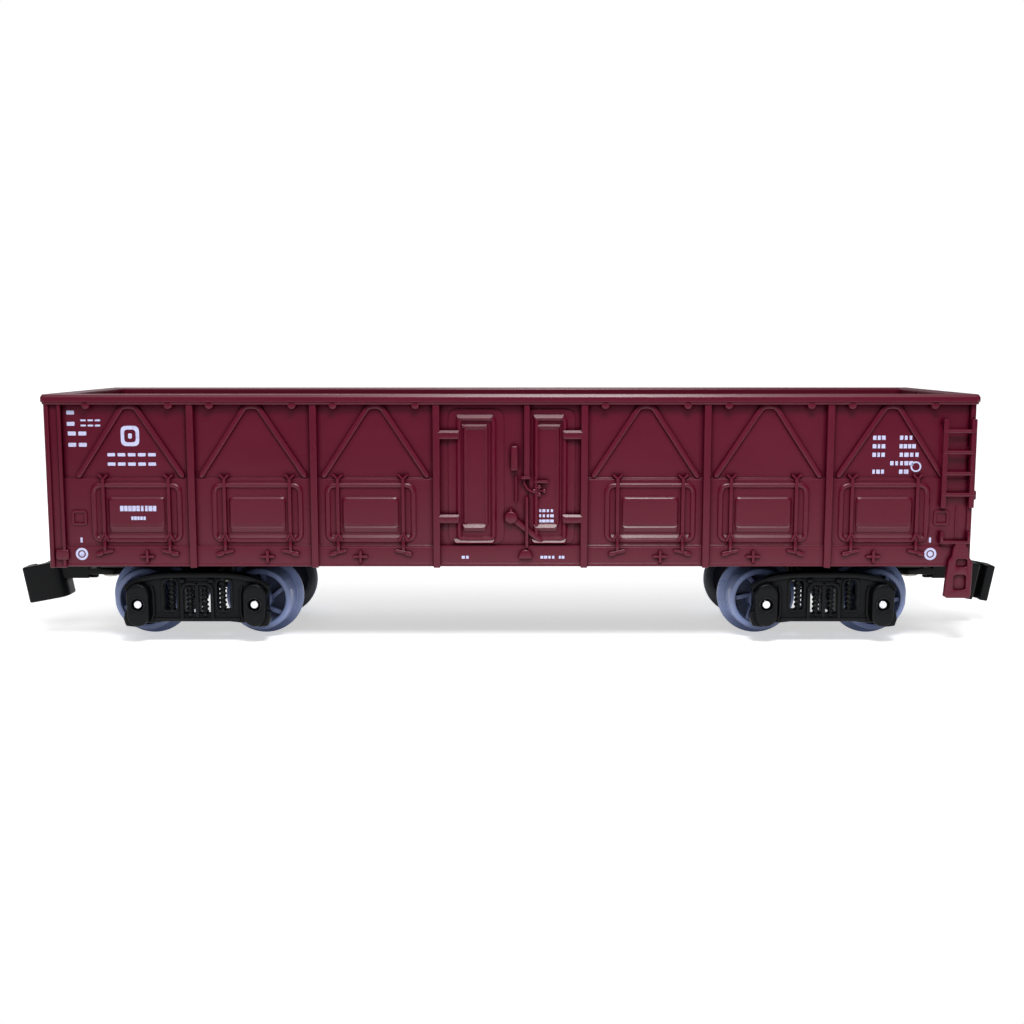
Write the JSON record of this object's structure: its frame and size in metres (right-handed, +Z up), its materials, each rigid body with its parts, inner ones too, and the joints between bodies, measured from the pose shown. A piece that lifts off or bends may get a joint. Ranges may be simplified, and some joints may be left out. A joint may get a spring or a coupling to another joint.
{
  "type": "model gondola wagon",
  "caption": "Model railway open-top gondola wagon: ribbed plastic body with braces and hatches, swivelling bogies, free-rolling wheelsets and swinging hook couplers.",
  "frame": {"origin": "under the middle of the wagon, at the height of the flange tips", "axes": "+X along the wagon towards the right-hand coupler, +Y across it, +Z up"},
  "size_m": [0.1674, 0.0374, 0.0402],
  "materials": {
    "maroon_plastic": "satin moulded",
    "black_plastic": "fine moulded grain",
    "blue_grey_plastic": "satin moulded",
    "bright_steel": "ground",
    "plated_steel": "zinc plated",
    "white_print": "pad printed",
    "steel_plate": "rolled sheet"
  },
  "bodies": {
    "wagon": {"body_shell": "maroon_plastic", "underframe": "black_plastic", "ballast_weight": "steel_plate", "underframe_screws": "plated_steel", "side_ladder_front": "maroon_plastic", "side_ladder_rear": "maroon_plastic", "end_ladder_right": "maroon_plastic", "end_ladder_left": "maroon_plastic", "corner_step_front": "maroon_plastic", "corner_step_rear": "maroon_plastic", "kingpin_screw_right": "plated_steel", "kingpin_screw_left": "plated_steel"},
    "bogie_right": {"bogie_frame_right": "black_plastic", "coupler_rivet_right": "plated_steel"},
    "coupler_right": {"coupler_right": "black_plastic"},
    "wheelset_right_outer": {"axle_right_outer": "bright_steel", "wheel_right_outer_front": "blue_grey_plastic", "wheel_right_outer_rear": "blue_grey_plastic"},
    "wheelset_right_inner": {"axle_right_inner": "bright_steel", "wheel_right_inner_front": "blue_grey_plastic", "wheel_right_inner_rear": "blue_grey_plastic"},
    "bogie_left": {"bogie_frame_left": "black_plastic", "coupler_rivet_left": "plated_steel"},
    "coupler_left": {"coupler_left": "black_plastic"},
    "wheelset_left_outer": {"axle_left_outer": "bright_steel", "wheel_left_outer_front": "blue_grey_plastic", "wheel_left_outer_rear": "blue_grey_plastic"},
    "wheelset_left_inner": {"axle_left_inner": "bright_steel", "wheel_left_inner_front": "blue_grey_plastic", "wheel_left_inner_rear": "blue_grey_plastic"}
  },
  "joints": [
    {"name": "bogie_right_swivel", "type": "hinge", "parent": "wagon", "child": "bogie_right", "pos_m": [0.0504, 0, 0.0112], "axis": [0, 0, 1], "range_deg": [-15, 15]},
    {"name": "coupler_right_swing", "type": "hinge", "parent": "bogie_right", "child": "coupler_right", "pos_m": [0.069, 0, 0.0094], "axis": [0, 0, 1], "range_deg": [-20, 20]},
    {"name": "wheelset_right_outer_spin", "type": "hinge", "parent": "bogie_right", "child": "wheelset_right_outer", "pos_m": [0.05975, 0, 0.0065], "axis": [0, 1, 0], "continuous": true},
    {"name": "wheelset_right_inner_spin", "type": "hinge", "parent": "bogie_right", "child": "wheelset_right_inner", "pos_m": [0.04105, 0, 0.0065], "axis": [0, 1, 0], "continuous": true},
    {"name": "bogie_left_swivel", "type": "hinge", "parent": "wagon", "child": "bogie_left", "pos_m": [-0.0504, 0, 0.0112], "axis": [0, 0, 1], "range_deg": [-15, 15]},
    {"name": "coupler_left_swing", "type": "hinge", "parent": "bogie_left", "child": "coupler_left", "pos_m": [-0.069, 0, 0.0094], "axis": [0, 0, 1], "range_deg": [-20, 20]},
    {"name": "wheelset_left_outer_spin", "type": "hinge", "parent": "bogie_left", "child": "wheelset_left_outer", "pos_m": [-0.05975, 0, 0.0065], "axis": [0, 1, 0], "continuous": true},
    {"name": "wheelset_left_inner_spin", "type": "hinge", "parent": "bogie_left", "child": "wheelset_left_inner", "pos_m": [-0.04105, 0, 0.0065], "axis": [0, 1, 0], "continuous": true}
  ]
}
